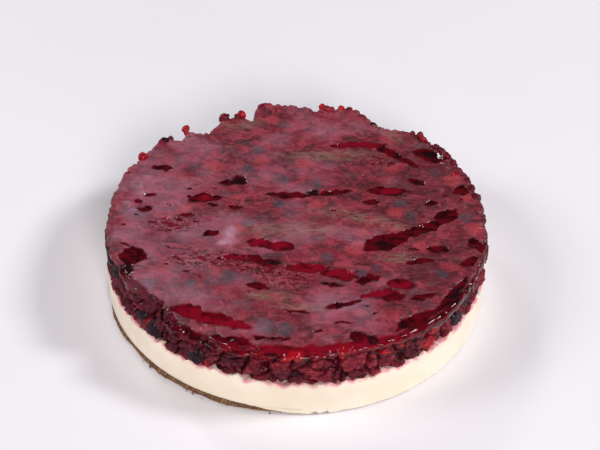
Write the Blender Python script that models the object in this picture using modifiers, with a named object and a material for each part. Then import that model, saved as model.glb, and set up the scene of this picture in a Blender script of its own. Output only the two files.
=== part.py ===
"""A whole round no-bake cheesecake: a biscuit crumb base, a cream cheese layer that overlaps it, and
a thick set layer of mixed berries pressed into the same round tin. Metres, +Z up, resting on z = 0.
"""

import math

import bmesh
import bpy
import numpy as np

# Driving dimensions
CAKE_RADIUS = 0.120
BASE_TOP = 0.0045
CREAM_TOP = 0.0250
BERRY_TOP = 0.0485
LAYER_GAP = 0.0003
SIDES = 72
MERGE = 0.00001

# The biscuit shows only where the cream stops short of the table, on this side
BARE_SIDE = math.radians(214)
BARE_WIDTH = math.radians(50)
BASE_INSET = 0.0032
BASE_EDGE = 0.0004
CRUMB_RELIEF = 0.0005
CRUMB_BULGE = 0.0017

# The cream: a skirt hangs past the biscuit, and its top waves near the rim
SKIRT_WALL = 0.0018
SKIRT_FOOT = 0.0004
SKIRT_RAGGED = 0.0003
CREAM_SHOULDER = 0.0010
CREAM_LIP = 0.0008
CREAM_WAVE = 0.0007

# The berries: half width, half height and reach into the cake of each kind, the share of each
# kind among the berries, and the number of drupelets on it
BERRY_KINDS = {
    "bramble": ((0.0105, 0.0072, 0.0090), 0.36, 14),
    "raspberry": ((0.0096, 0.0074, 0.0085), 0.32, 14),
    "currant": ((0.0050, 0.0050, 0.0054), 0.12, 0),
    "bilberry": ((0.0066, 0.0062, 0.0064), 0.20, 0),
}
ROW_HEIGHTS = (0.0062, 0.0155)
ROW_SEEDS = (11, 23)
ROW_START = 0.03
ROW_PITCH = 0.98
ROW_LIFT = 0.0016
SIZE_SPREAD = 0.15
TILT_SPREAD = 0.5
PRESSED = 0.0030
PRESSED_ROUND = 0.0018
RING_SLACK = 0.0010
RIM_COVER = 0.0022
STAGGER = 0.00013
TUCK = 0.0020
DRUPELET_DEPTH = 0.10

# Berries that stand proud of the top round the rim: where, and how far their tops rise
CROWN = {151: 0.0012, 131: 0.0020, 118: 0.0008, 110: 0.0018, 103: 0.0034, 94: 0.0022, 82: 0.0034,
         74: 0.0032, 59: 0.0020, 46: 0.0026, 38: 0.0014, 27: 0.0010, 19: 0.0018, 8: 0.0022}
CROWN_BERRY = (0.0062, 0.0060, 0.0062)
CROWN_INSET = 0.0008

# The set jelly between the berries, whose wall stands inside the ring that they fill. Its edge
# is given by steps in from the wall and down from the top.
CORE_INSET = 0.0026
CORE_RINGS = (0.26, 0.50, 0.70, 0.84)
CORE_EDGE = ((0.0060, 0.0003), (0.0016, 0.0015), (0, 0.0042), (0.0028, 0.0105))
CORE_FOOT_INSET = 0.0030
CORE_WOBBLE = 0.0008

# The top falls away to the rim here, and is notched behind
SAG_SIDE = math.radians(243)
SAG_WIDTH = math.radians(26)
SAG_DEPTH = 0.0042
NOTCHES = {62: 0.0050, 126: 0.0055, 90: 0.0020, 205: 0.0020, 330: 0.0015}
NOTCH_WIDTH = math.radians(4.5)
TOP_WAVE = 0.0003
TOP_SWELLS = ((31, 47, 1.0), (-24, 58, 2.2), (83, 0, 4.0))


def ripple(angle, seed, waves):
    """A wavy line round the cake, about -1 to 1: sines of these numbers of waves, seeded phases."""
    phases = np.random.default_rng(seed).uniform(0, 2 * math.pi, len(waves))
    parts = [np.sin(n * angle + phase) for n, phase in zip(waves, phases)]
    return sum(parts) / math.sqrt(len(waves))


def hump(angle, centre, width):
    """1 at the centre angle, falling to 0 as a bell over about twice the width."""
    away = (angle - centre + math.pi) % (2 * math.pi) - math.pi
    return np.exp(-((away / width) ** 2))


def bareness(angle, start=1.0):
    """0 where the cream reaches the table and 1 where the biscuit shows."""
    return np.clip(3 * hump(angle, BARE_SIDE, BARE_WIDTH) - start, 0, 1)


def layer_line(angle, radius):
    """Height of the cream's top, which waves at the rim where berries have pressed into it."""
    near_rim = np.clip((radius / CAKE_RADIUS - 0.80) / 0.15, 0, 1)
    return CREAM_TOP + CREAM_WAVE * near_rim * ripple(angle, 5, (5, 9, 14))


def notching(angle):
    """How far the rim of the berry layer is bitten in at each angle."""
    return sum(depth * hump(angle, math.radians(at), NOTCH_WIDTH) for at, depth in NOTCHES.items())


def top_height(angle, radius):
    """Height of the jellied top: a slow swell, and a sag towards one stretch of rim."""
    x, y = radius * np.cos(angle), radius * np.sin(angle)
    swell = sum(np.sin(across * x + along * y + phase) for across, along, phase in TOP_SWELLS)
    to_rim = np.clip((radius / CAKE_RADIUS - 0.72) / 0.22, 0, 1)
    sag = SAG_DEPTH * hump(angle, SAG_SIDE, SAG_WIDTH) * to_rim**1.5
    return BERRY_TOP + TOP_WAVE * swell - sag


def material(name, colour, roughness):
    made = bpy.data.materials.new(name)
    made.use_nodes = True
    shader = made.node_tree.nodes["Principled BSDF"]
    shader.inputs["Base Color"].default_value = (*colour, 1)
    shader.inputs["Roughness"].default_value = roughness
    shader.inputs["Metallic"].default_value = 0
    return made


def placed(name, mesh, finish, collection):
    obj = bpy.data.objects.new(name, mesh)
    mesh.materials.clear()
    mesh.materials.append(finish)
    collection.objects.link(obj)
    return obj


def turned(name, profile, collection):
    """The mesh of an outline of (radius, height) points, turned once round the Z axis.
    The outline starts and ends on the axis, and runs down its outer side."""
    mesh = bpy.data.meshes.new(name)
    points = [(radius, 0, height) for radius, height in profile]
    mesh.from_pydata(points, [(i, i + 1) for i in range(len(points) - 1)], [])
    guide = bpy.data.objects.new(name + "_outline", mesh)
    collection.objects.link(guide)
    screw = guide.modifiers.new("turn", "SCREW")
    screw.steps = screw.render_steps = SIDES
    screw.use_merge_vertices = True
    screw.merge_threshold = MERGE
    bpy.context.view_layer.update()
    graph = bpy.context.evaluated_depsgraph_get()
    made = bpy.data.meshes.new_from_object(guide.evaluated_get(graph))
    bpy.data.objects.remove(guide)
    return made


def reshape(mesh, move):
    """Moves every vertex: move takes and returns angle, radius and height arrays."""
    flat = np.empty(len(mesh.vertices) * 3)
    mesh.vertices.foreach_get("co", flat)
    x, y, z = flat.reshape(-1, 3).T
    angle, radius, height = move(np.arctan2(y, x) % (2 * math.pi), np.hypot(x, y), z)
    moved = np.stack([radius * np.cos(angle), radius * np.sin(angle), height], axis=1)
    mesh.vertices.foreach_set("co", moved.ravel())
    mesh.update()


def round_off(mesh, crease_degrees):
    """Smooth shading, with edges sharper than this left crisp."""
    mesh.shade_smooth()
    mesh.set_sharp_from_angle(angle=math.radians(crease_degrees))


def make_biscuit_base(collection):
    reach = CAKE_RADIUS - BASE_INSET
    profile = [(0, BASE_TOP), (reach * 0.93, BASE_TOP), (reach, BASE_TOP - BASE_EDGE),
               (reach + BASE_EDGE, BASE_TOP / 2), (reach, BASE_EDGE), (reach * 0.985, 0), (0, 0)]

    def crumble(angle, radius, height):
        at_rim = np.clip((radius - reach * 0.95) / (reach * 0.04), 0, 1)
        grain = ripple(angle + 220 * height, 3, (11, 17, 23))
        bulge = CRUMB_BULGE * bareness(angle, 2.0) * (1 + 0.5 * ripple(angle, 9, (13, 19)))
        return angle, radius + at_rim * (CRUMB_RELIEF * grain + bulge), height

    mesh = turned("biscuit_base", profile, collection)
    reshape(mesh, crumble)
    round_off(mesh, 40)
    return placed("biscuit_base", mesh, material("biscuit", (0.30, 0.14, 0.055), 0.9), collection)


def make_cream_layer(collection):
    under = BASE_TOP + LAYER_GAP
    recess = CAKE_RADIUS - SKIRT_WALL
    foot = SKIRT_FOOT
    profile = [(0, CREAM_TOP), (CAKE_RADIUS * 0.80, CREAM_TOP), (CAKE_RADIUS * 0.95, CREAM_TOP),
               (CAKE_RADIUS - CREAM_LIP, CREAM_TOP), (CAKE_RADIUS, CREAM_TOP - CREAM_SHOULDER),
               (CAKE_RADIUS, (CREAM_TOP + BASE_TOP) / 2), (CAKE_RADIUS, 2 * foot),
               (CAKE_RADIUS - foot, foot), (recess, foot), (recess, under + foot), (0, under + foot)]

    def settle(angle, radius, height):
        """The top waves with the berries, and the skirt is drawn up where the biscuit shows."""
        share_up = np.clip((height - under) / (CREAM_TOP - under), 0, 1)
        wave = (layer_line(angle, radius) - CREAM_TOP) * share_up
        is_skirt = (height < under) & (radius > recess - MERGE)
        ragged = SKIRT_RAGGED * ripple(angle, 7, (14, 22, 31, 45))
        lift = bareness(angle) * (under - foot) + np.abs(ragged)
        drawn_up = np.minimum(height + np.where(is_skirt, lift, 0), under + height * foot / under)
        return angle, radius, np.where(is_skirt, drawn_up, height + wave)

    mesh = turned("cream_layer", profile, collection)
    reshape(mesh, settle)
    round_off(mesh, 50)
    return placed("cream_layer", mesh, material("cream", (0.88, 0.78, 0.58), 0.45), collection)


def make_core(collection):
    """The jellied mass that holds the berries, a little smaller than the ring that they fill."""
    reach = CAKE_RADIUS - CORE_INSET
    foot = CREAM_TOP + LAYER_GAP
    profile = [(0, BERRY_TOP)]
    profile += [(CAKE_RADIUS * share, BERRY_TOP) for share in CORE_RINGS]
    profile += [(reach - inwards, BERRY_TOP - down) for inwards, down in CORE_EDGE]
    profile += [(reach - CORE_FOOT_INSET, foot), (CAKE_RADIUS * 0.80, foot + LAYER_GAP), (0, foot)]

    def flow(angle, radius, height):
        at_rim = np.clip((radius / CAKE_RADIUS - 0.86) / 0.1, 0, 1)
        high = np.clip((height - foot) / (BERRY_TOP - foot), 0, 1)
        wobble = CORE_WOBBLE * ripple(angle + 60 * height, 13, (6, 11, 17, 24))
        radius = radius + at_rim * (wobble - notching(angle) * high)
        top = top_height(angle, radius) - BERRY_TOP
        floor = layer_line(angle, radius) - CREAM_TOP
        return angle, radius, height + high**2 * top + (1 - high) * floor

    mesh = turned("berry_core", profile, collection)
    reshape(mesh, flow)
    return mesh


def drupelet_heads(count):
    """Directions spread evenly over a ball, one for each drupelet, on a spiral."""
    step = np.arange(count) + 0.5
    height = 1 - 2 * step / count
    turn = step * math.pi * (3 - math.sqrt(5))
    flat = np.sqrt(1 - height**2)
    return np.stack([flat * np.cos(turn), flat * np.sin(turn), height], axis=1)


def berry_mesh(kind, size, place, turn, limits):
    """One berry at (angle, radius, height), squashed where it meets the tin, the cream or the top.
    limits are the outer radius, the ceiling, and how far the berry stays above the cream."""
    drupelets = BERRY_KINDS[kind][2]
    angle, radius, height = place
    outer, ceiling, clearance = limits
    bm = bmesh.new()
    bmesh.ops.create_icosphere(bm, subdivisions=2, radius=1)
    ball = np.array([vert.co for vert in bm.verts])
    if drupelets:
        nearest = (ball @ drupelet_heads(drupelets).T).max(axis=1)
        spacing = 2 / math.sqrt(drupelets)
        dip = np.clip(np.arccos(np.clip(nearest, -1, 1)) / spacing, 0, 1)
        ball = ball * (1 + DRUPELET_DEPTH * (0.5 - dip**2))[:, None]
    cos, sin = math.cos(turn), math.sin(turn)
    along, up = ball[:, 0] * size[0], ball[:, 2] * size[1]
    along, up = cos * along - sin * up, sin * along + cos * up
    out = ball[:, 1] * size[2] + radius
    spot_angle = angle + along / radius
    spot_radius = np.minimum(out, outer)
    tucked_in = np.clip((0.94 - spot_radius / CAKE_RADIUS) / 0.06, 0, 1)
    floor = layer_line(spot_angle, spot_radius) + clearance + TUCK * tucked_in
    spot_height = np.clip(height + up, floor, ceiling)
    for vert, a, r, h in zip(bm.verts, spot_angle, spot_radius, spot_height):
        vert.co = (r * math.cos(a), r * math.sin(a), h)
    bmesh.ops.remove_doubles(bm, verts=bm.verts, dist=MERGE)
    bmesh.ops.recalc_face_normals(bm, faces=bm.faces)
    mesh = bpy.data.meshes.new(kind)
    bm.to_mesh(mesh)
    bm.free()
    return mesh


def side_berries():
    """Berries in two rows round the side: each draws a kind, a size and a tilt, and the next one
    starts where it ends."""
    kinds = list(BERRY_KINDS)
    shares = [BERRY_KINDS[kind][1] for kind in kinds]
    found = []
    for row, (rise, seed) in enumerate(zip(ROW_HEIGHTS, ROW_SEEDS)):
        draw = np.random.default_rng(seed)
        angle = ROW_START * row
        while angle < 2 * math.pi:
            kind = kinds[draw.choice(len(kinds), p=shares)]
            size = np.array(BERRY_KINDS[kind][0]) * (1 + SIZE_SPREAD * draw.uniform(-1, 1))
            lift, tilt, slack = draw.uniform(-1, 1, 3)
            half = size[0] * ROW_PITCH / CAKE_RADIUS
            height = CREAM_TOP + rise + ROW_LIFT * lift
            outer = CAKE_RADIUS - RING_SLACK * (0.65 + 0.45 * slack)
            has_drupelets = BERRY_KINDS[kind][2] > 0
            radius = outer - size[2] + (PRESSED if has_drupelets else PRESSED_ROUND)
            found.append((kind, size, (angle + half, radius, height), TILT_SPREAD * tilt, outer))
            angle += 2 * half
    return found


def crown_berries():
    """Berries that poke out of the top at the rim."""
    found = []
    for number, (degrees, proud) in enumerate(CROWN.items()):
        kind = ("currant", "raspberry")[number % 2]
        size = np.array(CROWN_BERRY)
        angle = math.radians(degrees)
        radius = CAKE_RADIUS - CROWN_INSET - size[2] - notching(angle) / 2
        place = (angle, radius, BERRY_TOP + proud - size[1])
        found.append((kind, size, place, TILT_SPREAD * number, CAKE_RADIUS - CROWN_INSET))
    return found


def largest_shell(mesh):
    """Keeps the one outer skin: a scrap that hangs loose or a bubble sealed inside is removed."""
    bm = bmesh.new()
    bm.from_mesh(mesh)
    left, shells = set(bm.verts), []
    while left:
        shell, edge = set(), [left.pop()]
        while edge:
            vert = edge.pop()
            shell.add(vert)
            for near in (link.other_vert(vert) for link in vert.link_edges):
                if near in left:
                    left.discard(near)
                    edge.append(near)
        shells.append(shell)
    kept = max(shells, key=len)
    spare = [vert for vert in bm.verts if vert not in kept]
    bmesh.ops.delete(bm, geom=spare, context="VERTS")
    bm.to_mesh(mesh)
    bm.free()


def make_berry_topping(collection, loose):
    finish = material("berries", (0.16, 0.012, 0.03), 0.2)
    topping = placed("berry_topping", make_core(collection), finish, collection)
    side, crown = side_berries(), crown_berries()
    for number, (kind, size, place, turn, outer) in enumerate(side + crown):
        high = BERRY_TOP - RIM_COVER - SAG_DEPTH * hump(place[0], SAG_SIDE, SAG_WIDTH)
        # No two neighbours share a flat, which would leave the union with faces that coincide
        step = STAGGER * (number % 7)
        ceiling = high - step if number < len(side) else CAKE_RADIUS
        mesh = berry_mesh(kind, size, place, turn, (outer, ceiling, 2 * LAYER_GAP + step))
        placed(f"berry_{number}", mesh, finish, loose)
    join = topping.modifiers.new("join", "BOOLEAN")
    join.operation = "UNION"
    join.operand_type = "COLLECTION"
    join.collection = loose
    join.solver = "EXACT"
    bpy.context.view_layer.update()
    graph = bpy.context.evaluated_depsgraph_get()
    joined = bpy.data.meshes.new_from_object(topping.evaluated_get(graph))
    topping.modifiers.clear()
    topping.data = joined
    largest_shell(joined)
    round_off(joined, 35)
    for berry in list(loose.objects):
        bpy.data.objects.remove(berry)
    bpy.data.collections.remove(loose)
    return topping


def make_cheesecake():
    for obj in list(bpy.data.objects):
        bpy.data.objects.remove(obj)
    cake = bpy.data.collections.new("cheesecake")
    berries = bpy.data.collections.new("loose_berries")
    for collection in (cake, berries):
        bpy.context.scene.collection.children.link(collection)
    make_biscuit_base(cake)
    make_cream_layer(cake)
    make_berry_topping(cake, berries)


make_cheesecake()
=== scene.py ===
import math
import bpy
import numpy as np
from mathutils import Matrix, Vector


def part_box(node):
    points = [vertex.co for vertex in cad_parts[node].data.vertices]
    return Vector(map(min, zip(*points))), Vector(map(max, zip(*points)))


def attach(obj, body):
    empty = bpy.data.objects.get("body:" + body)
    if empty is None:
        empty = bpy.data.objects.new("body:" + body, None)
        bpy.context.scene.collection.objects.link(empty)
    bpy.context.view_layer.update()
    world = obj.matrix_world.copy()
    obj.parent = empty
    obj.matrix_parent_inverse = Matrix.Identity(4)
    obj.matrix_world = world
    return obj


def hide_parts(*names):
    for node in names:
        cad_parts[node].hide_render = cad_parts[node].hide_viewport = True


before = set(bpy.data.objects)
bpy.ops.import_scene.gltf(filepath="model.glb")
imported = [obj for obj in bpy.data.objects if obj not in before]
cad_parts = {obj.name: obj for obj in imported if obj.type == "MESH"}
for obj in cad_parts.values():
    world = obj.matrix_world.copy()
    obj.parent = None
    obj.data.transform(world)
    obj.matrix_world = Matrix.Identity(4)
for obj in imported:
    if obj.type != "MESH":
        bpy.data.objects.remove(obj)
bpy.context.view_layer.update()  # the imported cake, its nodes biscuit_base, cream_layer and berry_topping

print("frame loaded:", sorted(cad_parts))

# The cake's sizes in metres, the same as those of its solids. Angles run from the cake's right (+X)
# towards its back (+Y), so its front is at 270 degrees.
cake = {
    "radius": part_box("cream_layer")[1].x,
    "baseTop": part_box("biscuit_base")[1].z,
    "creamTop": 0.0250,
    "berryTop": 0.0485,
    "layerGap": 0.0003,
    "core": 0.010,  # radius of the first ring of points round the axis
    "creamWave": 0.0007, "creamRagged": 0.0010,
    "topWave": 0.0003,
    "topSwells": ((31, 47, 1.0), (-24, 58, 2.2), (83, 0, 4.0)),
    "bareSide": 226, "bareWidth": 46,  # the side on which the biscuit shows
    "sagSide": 243, "sagWidth": 26, "sagDepth": 0.0042,  # where the top falls away to the rim
}
# The jellied rim, uneven all round: angle in degrees, reach and rise above the top in millimetres
rimShape = [
    (0, 118, 0.3), (8, 119, 0.8), (14, 117.5, 0.5), (20, 119, 1), (29, 120, 1.6), (36, 121, 2.4),
    (42, 120, 1.8), (47, 121.5, 3), (50, 119, 1.2), (55, 116, 1), (60, 113, 0.8), (63, 112, 0),
    (66, 117, 0.6), (71, 120, 2.4), (76, 120, 3), (80, 119, 1.4), (83, 119, 2.2), (84.5, 114, 0.6),
    (87, 118, 0.6), (92, 119.5, 1.2), (97, 120, 2.2), (101, 120.5, 3.8), (103.5, 120, 3),
    (105.5, 117, 1.2), (107.5, 107, 0), (109.5, 110, 0), (111, 115, 0.5), (114, 115, 0.5),
    (116.5, 116, 0.8), (120, 111, 0), (125, 108, 0), (129, 112, 0), (131, 116, 0.3), (134, 112, 0),
    (137, 114, 0), (140, 120, 1), (145, 118.5, 0.5), (148, 117, 0), (152, 119, 0.6), (160, 120, 0.6),
    (171, 119, 0), (180, 119, 0), (190, 119, 0.3), (200, 119.5, 0), (204, 116.5, 0), (207, 118.5, 0.6),
    (213, 119.5, 0.8), (217, 117, 0.4), (219.5, 111, 0), (224, 109.5, 0), (227, 115, 0),
    (229, 119, 0.2), (234, 119.5, 0.2), (241, 118, 0), (250, 119.5, 0), (262, 119, 0), (275, 119.5, 0),
    (286, 118, 0), (293, 119.5, 0.3), (304, 119, 0.3), (318, 119.5, 0.3), (330, 118, 0),
    (345, 119, 0.3), (360, 118, 0.3),
]


# Shapes round the cake

def smooth(low, high, value):
    # 0 below low, 1 above high and an S between: 3t squared less 2t cubed
    t = np.clip((value - low) / (high - low), 0, 1)
    return t * t * (3 - 2 * t)


def ripple(angle, seed, waves):
    # sum of sines of these numbers of waves, with seeded phases, over the square root of their number
    phases = np.random.default_rng(seed).uniform(0, 2 * math.pi, len(waves))
    return sum(np.sin(n * angle + phase) for n, phase in zip(waves, phases)) / math.sqrt(len(waves))


def hump(angle, centre, width):
    # a bell: e to the minus square of the angle from the centre over the width, both in degrees
    away = (np.degrees(angle) - centre + 180) % 360 - 180
    return np.exp(-((away / width) ** 2))


def bareness(angle, start=1.0):
    # 1 where the biscuit shows and 0 where the cream reaches the table
    return np.clip(3 * hump(angle, cake["bareSide"], cake["bareWidth"]) - start, 0, 1)


def layerLine(angle, radius):
    # height of the cream's top: level inside, waved and ragged near the rim
    nearRim = np.clip((radius / cake["radius"] - 0.80) / 0.15, 0, 1)
    ragged = cake["creamRagged"] * ripple(angle, 15, (31, 43, 58, 71, 97))
    return cake["creamTop"] + nearRim * (cake["creamWave"] * ripple(angle, 5, (5, 9, 14)) + ragged)


def rimAt(angle):
    # the rim's reach and rise in metres, between those listed
    at, reach, rise = np.array(rimShape).T
    turned = np.degrees(angle) % 360
    return np.interp(turned, at, reach) / 1000, np.interp(turned, at, rise) / 1000


def leaning(angle, height):
    # how far the wall of fruit is set back under a bitten rim, more towards its top
    return np.clip(cake["radius"] - 0.0010 - rimAt(angle)[0], 0, 1) * smooth(0.029, 0.042, height)


def topHeight(angle, radius):
    # height of the jellied top: three slow swells, less the sag towards one stretch of rim
    x, y = radius * np.cos(angle), radius * np.sin(angle)
    swell = sum(np.sin(across * x + along * y + phase) for across, along, phase in cake["topSwells"])
    toRim = np.clip((radius / cake["radius"] - 0.72) / 0.22, 0, 1)
    sag = cake["sagDepth"] * hump(angle, cake["sagSide"], cake["sagWidth"]) * toRim**1.5
    return cake["berryTop"] + cake["topWave"] * swell - sag


def lipRound(angle):
    # radius of the jelly's rounded edge, larger at the right front
    return jelly["round"] * (1 + 0.7 * hump(angle, *jelly["thickLip"]))


def underTop(angle, radius):
    # as high as fruit may stand: the top less a cover, falling with the rounded edge as
    # the radius less the root of its square less the way past the flat squared
    bend = lipRound(angle)
    past = np.clip((radius + 0.0012 - rimAt(angle)[0] + bend) / bend, 0, 1)
    return topHeight(angle, radius) - rows["rimCover"] - bend * (1 - np.sqrt(1 - past**2))


# Noise worked out on whole arrays of points

def hashed(corners, seed):
    # whole-number corners mixed with large odd numbers, 0 to 1
    x, y, z = corners.astype(np.int64).T
    mixed = (x * 374761393 + y * 668265263 + z * 1442695041 + seed * 974634777) & 0xFFFFFFFF
    mixed = ((mixed ^ (mixed >> 13)) * 1274126177) & 0xFFFFFFFF
    return ((mixed ^ (mixed >> 16)) & 0xFFFF) / 65535


def noise(points, size, seed):
    # values at the corners of cells of this size, blended by an S in each direction, -1 to 1
    scaled = points / size
    base = np.floor(scaled)
    part = scaled - base
    part = part * part * (3 - 2 * part)
    total = np.zeros(len(points))
    for corner in np.ndindex(2, 2, 2):
        near = np.where(np.array(corner) == 1, part, 1 - part).prod(axis=1)
        total += near * hashed(base + corner, seed)
    return 2 * total - 1


def roughNoise(points, size, seed, steps=3):
    # noise on noise: each step half as large and half as strong
    layers = [noise(points, size / 2**step, seed + step) / 2**step for step in range(steps)]
    return sum(layers) / (2 - 2.0 ** (1 - steps))


def cells(points, size, seed):
    # points jittered one to a cell: returns the distance to the nearest, how much further the second
    # is (0 on a border), both in cells, and the nearest one's own number from 0 to 1
    scaled = points / size
    base = np.floor(scaled)
    nearest = np.full(len(points), 9.0)
    second = np.full(len(points), 9.0)
    owner = np.zeros(len(points))
    for offset in np.ndindex(3, 3, 3):
        cell = base + offset - 1
        spot = cell + 0.5 + 0.8 * (np.stack([hashed(cell, seed + k) for k in (1, 2, 3)], axis=1) - 0.5)
        away = np.linalg.norm(scaled - spot, axis=1)
        closer = away < nearest
        second = np.where(closer, nearest, np.minimum(second, away))
        owner = np.where(closer, hashed(cell, seed), owner)
        nearest = np.minimum(nearest, away)
    return nearest, second - nearest, owner


# Meshes from grids

def polar(angle, radius, height):
    # points from angle, radius and height
    columns = np.broadcast_arrays(radius * np.cos(angle), radius * np.sin(angle), height)
    return np.stack(columns, axis=-1).reshape(-1, 3)


def turnedGrid(corners, columns):
    # an outline of (radius, height, spacing of the stretch that follows) turned round the axis: the
    # angles, radii and heights of its points, a ring to a row
    found = []
    for (r0, z0, spacing), (r1, z1, _) in zip(corners, corners[1:]):
        steps = max(1, round(math.hypot(r1 - r0, z1 - z0) / spacing))
        share = np.arange(steps) / steps
        found.append(np.stack([r0 + (r1 - r0) * share, z0 + (z1 - z0) * share], axis=1))
    found.append(np.array([corners[-1][:2]]))
    radius, height = np.concatenate(found).T
    angle = np.arange(columns) * 2 * math.pi / columns
    return np.broadcast_arrays(angle[None], radius[:, None], height[:, None])


def turnedFaces(rings, columns):
    # a top pole, rings from the top down the outside, and a bottom pole, joined by triangles and quads
    ring = 1 + np.arange(rings)[:, None] * columns + np.arange(columns)
    beside = np.roll(ring, -1, axis=1)
    quads = np.stack([ring[:-1], ring[1:], beside[1:], beside[:-1]], axis=-1).reshape(-1, 4)
    pole = np.zeros(columns, int)
    upper = np.stack([pole, ring[0], beside[0]], axis=1)
    lower = np.stack([pole + 1 + rings * columns, beside[-1], ring[-1]], axis=1)
    return quads.tolist() + upper.tolist() + lower.tolist()


def gridQuads(index):
    # the quads between the numbered points of a grid
    corners = [index[:-1, :-1], index[1:, :-1], index[1:, 1:], index[:-1, 1:]]
    return np.stack(corners, axis=-1).reshape(-1, 4)


def discGrid(steps):
    # a square grid folded to a disc: the ring is the larger of the two coordinates, and the angle runs
    # evenly along each side of that ring's square
    line = np.linspace(-1, 1, steps + 1)
    s, t = (grid.ravel() for grid in np.meshgrid(line, line, indexing="ij"))
    ring = np.maximum(np.abs(s), np.abs(t))
    wide = np.abs(s) >= np.abs(t)
    safeS, safeT = np.where(s == 0, 1, s), np.where(t == 0, 1, t)
    angle = np.where(wide, math.pi / 4 * t / safeS + math.pi * (s < 0),
                     math.pi / 2 - math.pi / 4 * s / safeT + math.pi * (t < 0))
    index = np.arange((steps + 1) ** 2).reshape(steps + 1, steps + 1)
    border = np.concatenate([index[:-1, 0], index[-1, :-1], index[:0:-1, -1], index[0, :0:-1]])
    return ring, angle % (2 * math.pi), gridQuads(index), border


def copied(faces, step, count):
    # the faces of this many meshes joined in one, each mesh's points counted on from the last by a step
    return [[corner + number * step for corner in face] for number in range(count) for face in faces]


def makePiece(name, points, faces, finish, node, marks):
    # a mesh with its masks as point attributes, riding on the cake in place of a solid
    mesh = bpy.data.meshes.new(name)
    mesh.from_pydata(points.tolist(), [], faces)
    mesh.shade_smooth()
    for label, values in marks.items():
        attribute = mesh.attributes.new(label, "FLOAT", "POINT")
        attribute.data.foreach_set("value", np.asarray(values, np.float32))
    mesh.materials.append(finish)
    piece = bpy.data.objects.new(name, mesh)
    bpy.context.scene.collection.objects.link(piece)
    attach(piece, "root")
    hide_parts(node)
    mesh.calc_loop_triangles()
    print(f"{name}: {len(mesh.loop_triangles)} triangles")


def makeTurned(name, angle, radius, height, finish, node, marks):
    # a piece from a turned grid, closed above and below by a pole on the axis, where the masks are 0
    poles = [[[0, 0, end.mean()]] for end in (height[0], height[-1])]
    points = np.concatenate([poles[0], polar(angle, radius, height), poles[1]])
    padded = {label: np.concatenate([[0], values.ravel(), [0]]) for label, values in marks.items()}
    makePiece(name, points, turnedFaces(*radius.shape), finish, node, padded)


# Shader tools

def addNode(tree, kind, inputs=None, **settings):
    # a node with its settings, and its inputs given as numbers, colours or sockets to link
    made = tree.nodes.new(kind)
    for setting, value in settings.items():
        setattr(made, setting, value)
    for name, value in (inputs or {}).items():
        socket = made.inputs[name]
        if isinstance(value, bpy.types.NodeSocket):
            tree.links.new(value, socket)
        else:
            socket.default_value = value
    return made


def blendColours(tree, share, first, second):
    # the mix of two colours by a share
    made = addNode(tree, "ShaderNodeMix", data_type="RGBA")
    for socket, value in ((made.inputs[0], share), (made.inputs[6], first), (made.inputs[7], second)):
        if isinstance(value, bpy.types.NodeSocket):
            tree.links.new(value, socket)
        else:
            socket.default_value = value if isinstance(value, float) else (*value, 1)
    return made.outputs[2]


def calculate(tree, operation, first, second, third=None):
    # one Math node on two or three values
    made = addNode(tree, "ShaderNodeMath", {0: first, 1: second}, operation=operation)
    if third is not None:
        made.inputs[2].default_value = third
    return made.outputs[0]


def times(tree, first, second):
    # the product of two values
    return calculate(tree, "MULTIPLY", first, second)


def opposite(tree, value):
    # 1 less the value
    return calculate(tree, "SUBTRACT", 1.0, value)


def newGroup(name, inputs, outputs):
    # an empty node group with these named sockets, and its two ends
    group = bpy.data.node_groups.new(name, "ShaderNodeTree")
    for label, kind, value in inputs:
        socket = group.interface.new_socket(label, in_out="INPUT", socket_type=kind)
        if value is not None:
            socket.default_value = value
    for label, kind in outputs:
        group.interface.new_socket(label, in_out="OUTPUT", socket_type=kind)
    return group, group.nodes.new("NodeGroupInput").outputs, group.nodes.new("NodeGroupOutput").inputs


def makeMottle():
    # soft blotches: noise drawn out along X, then cut between a low and a high value
    group, start, end = newGroup(
        "mottle",
        [("Vector", "NodeSocketVector", None), ("Size", "NodeSocketFloat", 0.01),
         ("Stretch", "NodeSocketFloat", 1.0), ("Low", "NodeSocketFloat", 0.4),
         ("High", "NodeSocketFloat", 0.6), ("Distortion", "NodeSocketFloat", 0.0),
         ("Detail", "NodeSocketFloat", 3.0)],
        [("Mask", "NodeSocketFloat")])
    stretched = times(group, start["Size"], start["Stretch"])
    size = addNode(group, "ShaderNodeCombineXYZ", {"X": stretched, "Y": start["Size"], "Z": start["Size"]})
    place = addNode(group, "ShaderNodeVectorMath", {0: start["Vector"], 1: size.outputs[0]},
                    operation="DIVIDE")
    cloud = addNode(group, "ShaderNodeTexNoise", {
        "Vector": place.outputs[0], "Scale": 1.0, "Detail": start["Detail"],
        "Distortion": start["Distortion"]})
    cut = addNode(group, "ShaderNodeMapRange",
                  {"Value": cloud.outputs[0], "From Min": start["Low"], "From Max": start["High"]},
                  interpolation_type="SMOOTHSTEP")
    group.links.new(cut.outputs[0], end["Mask"])
    return group


def makeGrain():
    # fine lumps: rounded cells with a little noise, 0 to about 1
    group, start, end = newGroup(
        "grain",
        [("Vector", "NodeSocketVector", None), ("Size", "NodeSocketFloat", 0.001),
         ("Roughness", "NodeSocketFloat", 0.5)],
        [("Height", "NodeSocketFloat")])
    scale = calculate(group, "DIVIDE", 1.0, start["Size"])
    domes = addNode(group, "ShaderNodeTexVoronoi", {"Vector": start["Vector"], "Scale": scale},
                    feature="SMOOTH_F1")
    fine = addNode(group, "ShaderNodeTexNoise", {
        "Vector": start["Vector"], "Scale": scale, "Detail": 4.0, "Roughness": start["Roughness"]})
    domed = opposite(group, domes.outputs["Distance"])
    mixed = calculate(group, "ADD", times(group, domed, 0.6), times(group, fine.outputs[0], 0.5))
    group.links.new(mixed, end["Height"])
    return group


mottle = makeMottle()
grain = makeGrain()


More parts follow.
